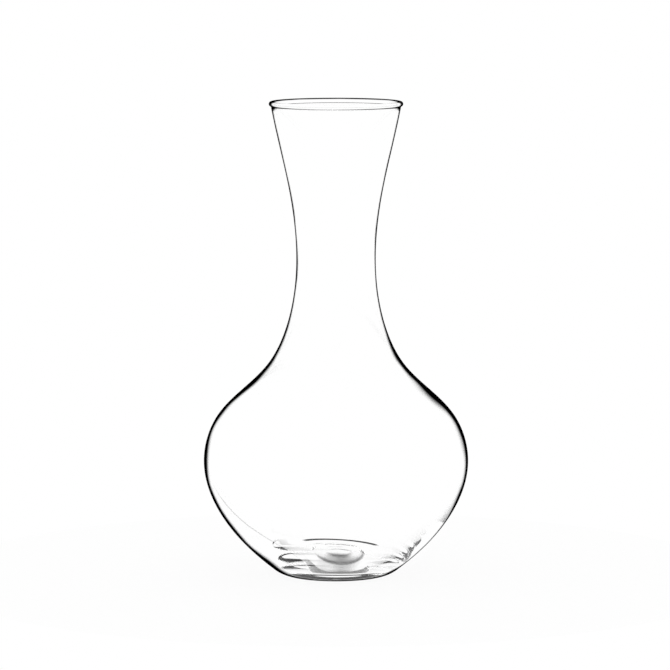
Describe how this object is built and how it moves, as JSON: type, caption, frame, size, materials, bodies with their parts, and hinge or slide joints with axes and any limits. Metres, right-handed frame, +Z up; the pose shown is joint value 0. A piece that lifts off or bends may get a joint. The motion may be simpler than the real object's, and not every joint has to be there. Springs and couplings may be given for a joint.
{
  "type": "carafe",
  "caption": "Clear blown glass carafe with a flared mouth, narrow neck, round belly and a thick base that tapers to a small foot, for serving water or wine.",
  "frame": {"origin": "on the axis, in the plane of the table that the foot stands on", "axes": "+Z up along the axis, from the foot to the mouth; +X and +Y lie in the table's plane, and all directions round the axis are alike"},
  "size_m": [0.143, 0.143, 0.2565],
  "materials": {
    "clear_glass": "clear, fire-polished"
  },
  "bodies": {
    "root": {"carafe": "clear_glass"}
  },
  "joints": []
}
